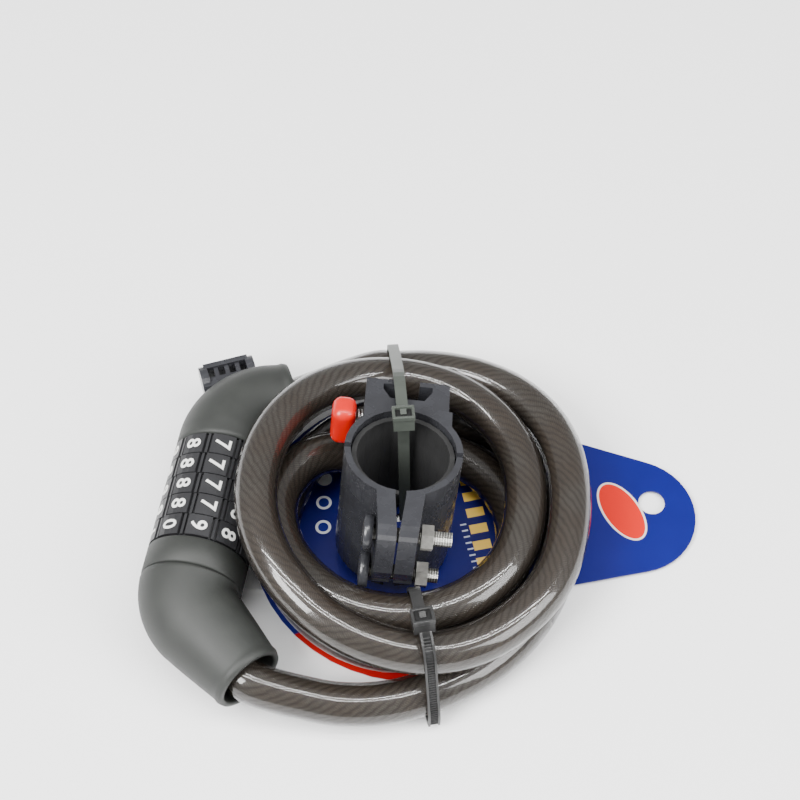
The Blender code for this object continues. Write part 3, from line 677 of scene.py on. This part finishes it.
# %% Finish for each solid piece
finish_of = {
    "lock_elbow_cover": cover_plastic, "plug_elbow_cover": cover_plastic,
    "reset_collar": cover_plastic, "mount_tongue": bracket_plastic,
    "bracket_saddle": bracket_plastic, "clamp_arm_left": bracket_plastic,
    "clamp_arm_right": bracket_plastic, "clamp_liner": liner_black,
    "clamp_bolt_upper": thread_steel, "clamp_bolt_lower": thread_steel,
    "clamp_nut_upper": nut_metal, "clamp_nut_lower": nut_metal,
    "release_button": button_red, "tie_near": tie_black, "tie_far": tie_grey,
    "hang_card": card_finish,
}
for name, obj in nodes.items():
    if name in ("cable_lead", "cable_coil"):
        continue
    chosen = finish_of.get(name) or (dial_plastic if name.startswith("dial_") and name[5:].isdigit()
                                     else plain_steel)
    if not obj.material_slots:
        obj.data.materials.append(chosen)
    for slot in obj.material_slots:
        slot.material = chosen
print("dressed", len(nodes) - 2, "solid pieces")

# %% [markdown]
# ## Smooth elbow covers
# The solid elbows are made of flat strips, which is enough to collide with.  The real ones are
# smooth mouldings that narrow towards the cable, with an eased edge at the barrel and a thick
# rolled lip at the mouth.  One section is swept out along the outside, over the lip and back
# along the inside, and then joined to its start, which leaves a real wall.

# %% Elbow covers
WALL = 1.8 * MM
MOUTH_RADIUS = 10.0 * MM
LIP = 0.35 * MM


def finer(points, step):
    made = []
    for a, b in zip(points, points[1:]):
        count = max(1, round((b - a).length / step))
        made += [a.lerp(b, i / count) for i in range(count)]
    return made + [points[-1]]


def elbow_cover(name, corners, straight, body):
    points = finer(corners, 0.7 * MM)
    frames_here = carried_frames(points)
    reach = [0.0]
    for a, b in zip(points, points[1:]):
        reach.append(reach[-1] + (b - a).length)
    whole = reach[-1]
    outer = []
    for run in reach:
        share = max(0.0, (run - straight) / (whole - straight))
        radius = BARREL_RADIUS + (MOUTH_RADIUS - BARREL_RADIUS) * share**1.3
        radius -= max(0.0, 0.5 * MM - run) * 0.8
        from_mouth = whole - run
        if from_mouth < 2.2 * MM:
            radius += LIP * math.sin(math.pi * min(1.0, 1.1 - from_mouth / (2.2 * MM)))
        outer.append(radius)
    inner = [radius - WALL for radius in outer]
    inner[-1] += 0.5 * MM
    line = points + points[::-1]
    turned = frames_here + frames_here[::-1]
    sections = [circle_section(radius, 56) for radius in outer + inner[::-1]]
    bm = bmesh.new()
    sweep(bm, line, turned, sections, closed=True)
    made = add_object(name, bm)
    made.data.materials.append(cover_plastic)
    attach(made, body)
    return made


lock_cover = elbow_cover("lock_elbow", elbow_path(DIAL_STACK / 2 + GAP, 5.2 * MM, 18.0 * MM,
                         math.radians(63.7), 6.5 * MM, 1, steps=24), 5.2 * MM, "lock")
plug_cover = elbow_cover("plug_elbow", elbow_path(-DIAL_STACK / 2 - COLLAR_LENGTH - GAP, 0.1 * MM,
                         13.9 * MM, math.radians(51.0), 21.7 * MM, -1, steps=24), 0.1 * MM, "plug")
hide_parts("lock_elbow_cover")
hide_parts("plug_elbow_cover")
print("elbow faces:", len(lock_cover.data.polygons), len(plug_cover.data.polygons))

# %% [markdown]
# ## The release button
# A soft, fat block of red plastic.  A cube with a wide rounded bevel gives it.  It covers the
# solid button's cap and moves with it.

# %% Button
def block(bm, size, place, surface=0):
    made = bmesh.ops.create_cube(bm, size=1.0)["verts"]
    bmesh.ops.scale(bm, vec=size, verts=made)
    bmesh.ops.transform(bm, matrix=place, verts=made)
    faces = list({face for vert in made for face in vert.link_faces})
    for face in faces:
        face.material_index = surface
    return made, faces


bm = bmesh.new()
cap_place = bracket_place((-13.9 - 3.3) * MM, 15.6 * MM, BRACKET_HEIGHT - 7.5 * MM)
verts, _ = block(bm, (6.8 * MM, 8.4 * MM, 13.4 * MM), cap_place)
edges = list({edge for vert in verts for edge in vert.link_edges})
bmesh.ops.bevel(bm, geom=edges, offset=2.7 * MM, affect="EDGES", segments=6, profile=0.5,
                material=-1)
button = add_object("button_cap", bm)
button.data.materials.append(button_red)
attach(button, "button")
print("button cap:", len(button.data.polygons), "faces")

# %% [markdown]
# ## The button's spring
# The spring behind the button gets shorter as the button goes in.  Here it is a fine wire swept
# along a helix that lies along the button's own direction, at one fixed length, and it rides on the
# lock.

# %% Spring
SPRING_START = -13.4 * MM
SPRING_END = -9.4 * MM
SPRING_RADIUS = 1.5 * MM
WIRE_RADIUS = 0.22 * MM
TURNS = 4
STEPS_PER_TURN = 20


def spring_place(along):
    return bracket_place(along, 15.4 * MM, BRACKET_HEIGHT - 4.6 * MM)


helix = []
for i in range(TURNS * STEPS_PER_TURN + 1):
    turn = math.tau * i / STEPS_PER_TURN
    at = SPRING_START + (SPRING_END - SPRING_START) * i / (TURNS * STEPS_PER_TURN)
    out = Vector((0, SPRING_RADIUS * math.cos(turn), SPRING_RADIUS * math.sin(turn)))
    helix.append(spring_place(at) @ out)
bm = bmesh.new()
sweep(bm, helix, carried_frames(helix), [circle_section(WIRE_RADIUS, 8)] * len(helix))
spring = add_object("button_coil_spring", bm)
spring.data.materials.append(plain_steel)
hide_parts("button_spring")
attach(spring, "lock")
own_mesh(spring)
print("spring:", len(spring.data.polygons), "faces")

# %% [markdown]
# ## The reset collar
# The collar is a plain ring of the same plastic as the elbows, with eased edges, so it is swept
# in the same way: out along its outside and back along its bore.

# %% Collar
top = -DIAL_STACK / 2 - GAP
low = -DIAL_STACK / 2 - COLLAR_LENGTH
ease = 0.4 * MM
bore = 8.35 * MM
outline = ((top, BARREL_RADIUS - ease), (top - ease, BARREL_RADIUS), (low + ease, BARREL_RADIUS),
           (low, BARREL_RADIUS - ease), (low, bore), (top, bore))
bm = bmesh.new()
sweep(bm, [BARREL_CENTRE + BARREL_AXIS * run for run, _ in outline], [(None, UP, SIDE)] * 6,
      [circle_section(radius, 64) for _, radius in outline], closed=True)
collar = add_object("collar_ring", bm)
collar.modifiers.new("edges", "EDGE_SPLIT").split_angle = math.radians(50)
collar.data.materials.append(cover_plastic)
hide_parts("reset_collar")
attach(collar, "collar")
print("collar:", len(collar.data.polygons), "faces")

# %% [markdown]
# ## Zip-tie details
# A tie's head is a square frame round an opening that looks dark, and a small tongue in it holds
# the strap.  Below its head the near tie shows its toothed side: two rails with a ribbed channel
# between them.  The frames are blocks whose top is inset and pushed down only a little, so the
# floor of the opening is painted near-black as shade that stands for its depth, and the ribs in the
# channel get the same painted shade.  The rails are a thin rectangle swept along the strap.

# %% Tie frames and heads
def tie_place(x, turn):
    upright = Matrix(((0, 0, 1, 0), (1, 0, 0, 0), (0, 1, 0, 0), (0, 0, 0, 1)))
    spin = Matrix.Rotation(math.radians(turn), 4, "Z")
    return Matrix.Translation(Vector((x, 0, 0)) - MIDDLE) @ spin @ upright


NEAR_PLACE = tie_place(-4.7 * MM, 10.2)
FAR_PLACE = tie_place(-1.5 * MM, 4.1)


def tie_head(name, place, at, tilt, finish):
    head = (place @ Matrix.Translation((at[0] * MM, at[1] * MM, 0))
            @ Matrix.Rotation(math.radians(tilt), 4, "Z"))
    bm = bmesh.new()
    _, faces = block(bm, (5.2 * MM, 1.5 * MM, 6.2 * MM),
                     head @ Matrix.Translation((0, 2.35 * MM, 0)))
    outward = (head.to_3x3() @ Vector((0, 1, 0))).normalized()
    bm.normal_update()
    top = max(faces, key=lambda face: face.normal.dot(outward))
    bmesh.ops.inset_individual(bm, faces=[top], thickness=1.15 * MM, depth=0.0)
    bmesh.ops.inset_individual(bm, faces=[top], thickness=0.05 * MM, depth=-0.85 * MM)
    # the shallow floor of the opening takes the near-black painted shade that stands for its depth
    top.material_index = 1
    outline = [e for e in bm.edges if e.calc_face_angle(0.0) > 1.2 and top not in e.link_faces]
    bmesh.ops.bevel(bm, geom=outline, offset=0.22 * MM, affect="EDGES", segments=2, profile=0.5,
                    material=-1)
    tongue_place = (head @ Matrix.Translation((0.35 * MM, 2.6 * MM, 0))
                    @ Matrix.Rotation(0.35, 4, "Z"))
    block(bm, (1.7 * MM, 0.7 * MM, 1.7 * MM), tongue_place)
    made = add_object(name, bm, smooth=False)
    made.data.materials.append(finish)
    made.data.materials.append(painted_recess_shade)
    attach(made, "lock")
    return made


tie_head("tie_near_head", NEAR_PLACE, (-41.8, 30.2), -12.4, tie_black)
tie_head("tie_far_head", FAR_PLACE, (12.6, 45.2), -15.0, tie_grey)

# %% Rails and ribs on the near tie
STRAP_LINE = ((-45.4, 31.0), (-49.0, 30.2), (-52.2, 27.4), (-54.4, 21.8), (-57.0, 15.2),
              (-58.9, 10.2), (-59.3, 7.0), (-59.3, 3.0))
bm = bmesh.new()
bm.loops.layers.uv.new("cable")
strap = [Vector((a * MM, u * MM, 0)) for a, u in STRAP_LINE]
strap = even_points(strap, 40)
out_ways = []
for i in range(len(strap)):
    along = (strap[min(i + 1, len(strap) - 1)] - strap[max(i - 1, 0)]).normalized()
    out_ways.append(Vector((along.y, -along.x, 0)) * -1.0)
centre = Vector((-44.0, 15.0, 0)) * MM
out_ways = [w if w.dot(p - centre) > 0 else -w for w, p in zip(out_ways, strap)]
spun = NEAR_PLACE.to_3x3()
for side in (-1.0, 1.0):
    middle = side * 1.35 * MM
    line = [NEAR_PLACE @ (p + w * 0.55 * MM + Vector((0, 0, middle)))
            for p, w in zip(strap, out_ways)]
    rail_frames = [(None, spun @ Vector((0, 0, 1)), spun @ w) for w in out_ways]
    section = [(-0.3 * MM, -0.25 * MM), (0.3 * MM, -0.25 * MM), (0.3 * MM, 0.25 * MM),
               (-0.3 * MM, 0.25 * MM)]
    sweep(bm, line, rail_frames, [section] * len(line))
for i in range(2, len(strap) - 1):
    along = (strap[i + 1] - strap[i - 1]).normalized()
    turn = Matrix((along, out_ways[i], Vector((0, 0, 1)))).transposed().to_4x4()
    # the ribs take the near-black painted shade of the channel between the rails
    block(bm, (0.35 * MM, 0.25 * MM, 2.0 * MM),
          NEAR_PLACE @ Matrix.Translation(strap[i] + out_ways[i] * 0.5 * MM) @ turn, 1)
rails = add_object("tie_near_rails", bm, smooth=False)
rails.data.materials.append(tie_black)
rails.data.materials.append(painted_recess_shade)
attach(rails, "lock")
print("rails and ribs:", len(rails.data.polygons), "faces")

# %% [markdown]
# ## Bosses over the bolt heads
# The heads of the two bolts sit in round bosses on the left lug, so that only a dark recess
# shows.  Each boss is a short tube: a ring swept out, over its rim and back inside.

# %% Bosses
BOLT_FORWARD = 22.5 * MM
HEAD_SIDE = -8.05 * MM


def boss(name, height):
    bm = bmesh.new()
    shape = ((4.9, 2.6), (4.9, 0.4), (4.5, 0.0), (4.0, 0.0), (3.75, 0.25), (3.75, 2.6))
    to_left = [bracket_place(HEAD_SIDE + run * MM - 1.0 * MM, -BOLT_FORWARD, height).translation
               for _, run in shape]
    across = (BRACKET_TURN.to_3x3() @ Vector((0, 1, 0)), BRACKET_TURN.to_3x3() @ Vector((0, 0, 1)))
    sections = [circle_section(radius * MM, 40) for radius, _ in shape]
    sweep(bm, to_left, [(None, *across)] * len(shape), sections, closed=True)
    made = add_object(name, bm)
    made.data.materials.append(bracket_plastic)
    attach(made, "lock")


boss("lug_boss_upper", BRACKET_HEIGHT - 9 * MM)
boss("lug_boss_lower", BRACKET_HEIGHT - 25 * MM)
print("bosses: 2")

# %% [markdown]
# ## Digits on the dials
# The digits are moulded or printed a hair proud of each pad.  A text object gives the outlines,
# and it is made a mesh and wrapped round the barrel: what was up on the page becomes an angle,
# so the digit follows the pad's curve.  A long straight stroke has no points between its ends
# and would cut through the pad, so the flat digit is first sliced into narrow strips.  All ten
# digits of a dial are one piece, which turns with the dial.

# %% Digit outlines
DIGIT_SIZE = 6.4 * MM
DIGIT_PROUD = 0.13 * MM
STRIP = 0.45 * MM


def digit_mesh(character):
    text = bpy.data.curves.new("digit", "FONT")
    text.body = character
    text.size = DIGIT_SIZE
    text.align_x, text.align_y = "CENTER", "CENTER"
    text.extrude = DIGIT_PROUD / 2
    text.offset = 0.09 * MM
    text.resolution_u = 3
    holder = bpy.data.objects.new("digit", text)
    bpy.context.collection.objects.link(holder)
    depsgraph = bpy.context.evaluated_depsgraph_get()
    mesh = bpy.data.meshes.new_from_object(holder.evaluated_get(depsgraph))
    bpy.data.objects.remove(holder)
    bm = bmesh.new()
    bm.from_mesh(mesh)
    bmesh.ops.remove_doubles(bm, verts=bm.verts, dist=1e-7)
    level = -DIGIT_SIZE / 2
    while level < DIGIT_SIZE / 2:
        bmesh.ops.bisect_plane(bm, geom=bm.verts[:] + bm.edges[:] + bm.faces[:],
                               plane_co=(0, level, 0), plane_no=(0, 1, 0))
        level += STRIP
    bm.to_mesh(mesh)
    bm.free()
    return mesh


digit_meshes = [digit_mesh(str(k)) for k in range(10)]
print("digit outlines:", len(digit_meshes))

# %% Digits wrapped on each dial
def wrap_digit(bm, mesh, along, turn):
    first = len(bm.verts)
    bm.from_mesh(mesh)
    bm.verts.ensure_lookup_table()
    fresh = bm.verts[first:]
    low = min(v.co.y for v in fresh)
    high = max(v.co.y for v in fresh)
    middle = (low + high) / 2
    left = min(v.co.x for v in fresh)
    right = max(v.co.x for v in fresh)
    for vert in fresh:
        angle = math.radians(turn) + (vert.co.y - middle) / BARREL_RADIUS
        out = UP * math.cos(angle) + SIDE * math.sin(angle)
        reach = BARREL_RADIUS - 0.04 * MM + DIGIT_PROUD / 2 + vert.co.z
        run = along - (vert.co.x - (left + right) / 2)
        vert.co = BARREL_CENTRE + BARREL_AXIS * run + out * reach


for k in range(5):
    bm = bmesh.new()
    along = DIAL_STACK / 2 - DIAL_PITCH * (k + 0.5)
    shown = 9 if k == 4 else 7
    for step in range(10):
        wrap_digit(bm, digit_meshes[(shown - step) % 10], along, DIAL_TURNS[k] + 36.0 * step)
    bmesh.ops.remove_doubles(bm, verts=bm.verts, dist=1e-7)
    bmesh.ops.recalc_face_normals(bm, faces=bm.faces)
    digits = add_object(f"dial_{k + 1}_digits", bm, smooth=False)
    digits.data.materials.append(digit_white)
    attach(digits, f"dial_{k + 1}")
    print(digits.name, "faces", len(digits.data.polygons))

# %% [markdown]
# ## Floor and light
# A plain pale floor under soft light.  Two long strip lights overhead draw the pair of thin
# lines that run along every turn of a polished cable; a broad light at the front left and a
# weaker one at the right open the shadows.  The world is even and not too bright, because its
# reflection would turn the dark plastics grey.

# %% Stage
floor_mesh = bpy.data.meshes.new("floor")
bm = bmesh.new()
bmesh.ops.create_grid(bm, x_segments=1, y_segments=1, size=3.0)
bm.to_mesh(floor_mesh)
bm.free()
floor = bpy.data.objects.new("floor", floor_mesh)
bpy.context.collection.objects.link(floor)
pale = Finish("pale_floor")
pale.set(Base_Color=pale.mix(pale.noise(3.0, 2.0), (0.86, 0.86, 0.86), (0.90, 0.90, 0.90)),
         Roughness=0.8)
floor.data.materials.append(pale.material)


def soft_light(name, place, size, power, narrow=None):
    data = bpy.data.lights.new(name, "AREA")
    data.shape = "RECTANGLE"
    data.size = size
    data.size_y = narrow or size
    data.energy = power
    made = bpy.data.objects.new(name, data)
    made.location = place
    made.rotation_euler = (-Vector(place)).to_track_quat("-Z", "Y").to_euler()
    bpy.context.collection.objects.link(made)
    return made


soft_light("strip_front", (0.0, -0.16, 0.95), 1.5, 9.0, 0.03)
soft_light("strip_back", (0.0, 0.02, 0.95), 1.5, 9.0, 0.03)
soft_light("key", (-0.60, -0.45, 0.85), 0.50, 22.0)
soft_light("fill", (0.75, -0.40, 0.60), 0.60, 13.0)
world = bpy.data.worlds.new("studio")
world.use_nodes = True
world.node_tree.nodes["Background"].inputs["Color"].default_value = (1.0, 1.0, 1.0, 1.0)
world.node_tree.nodes["Background"].inputs["Strength"].default_value = 0.60
bpy.context.scene.world = world
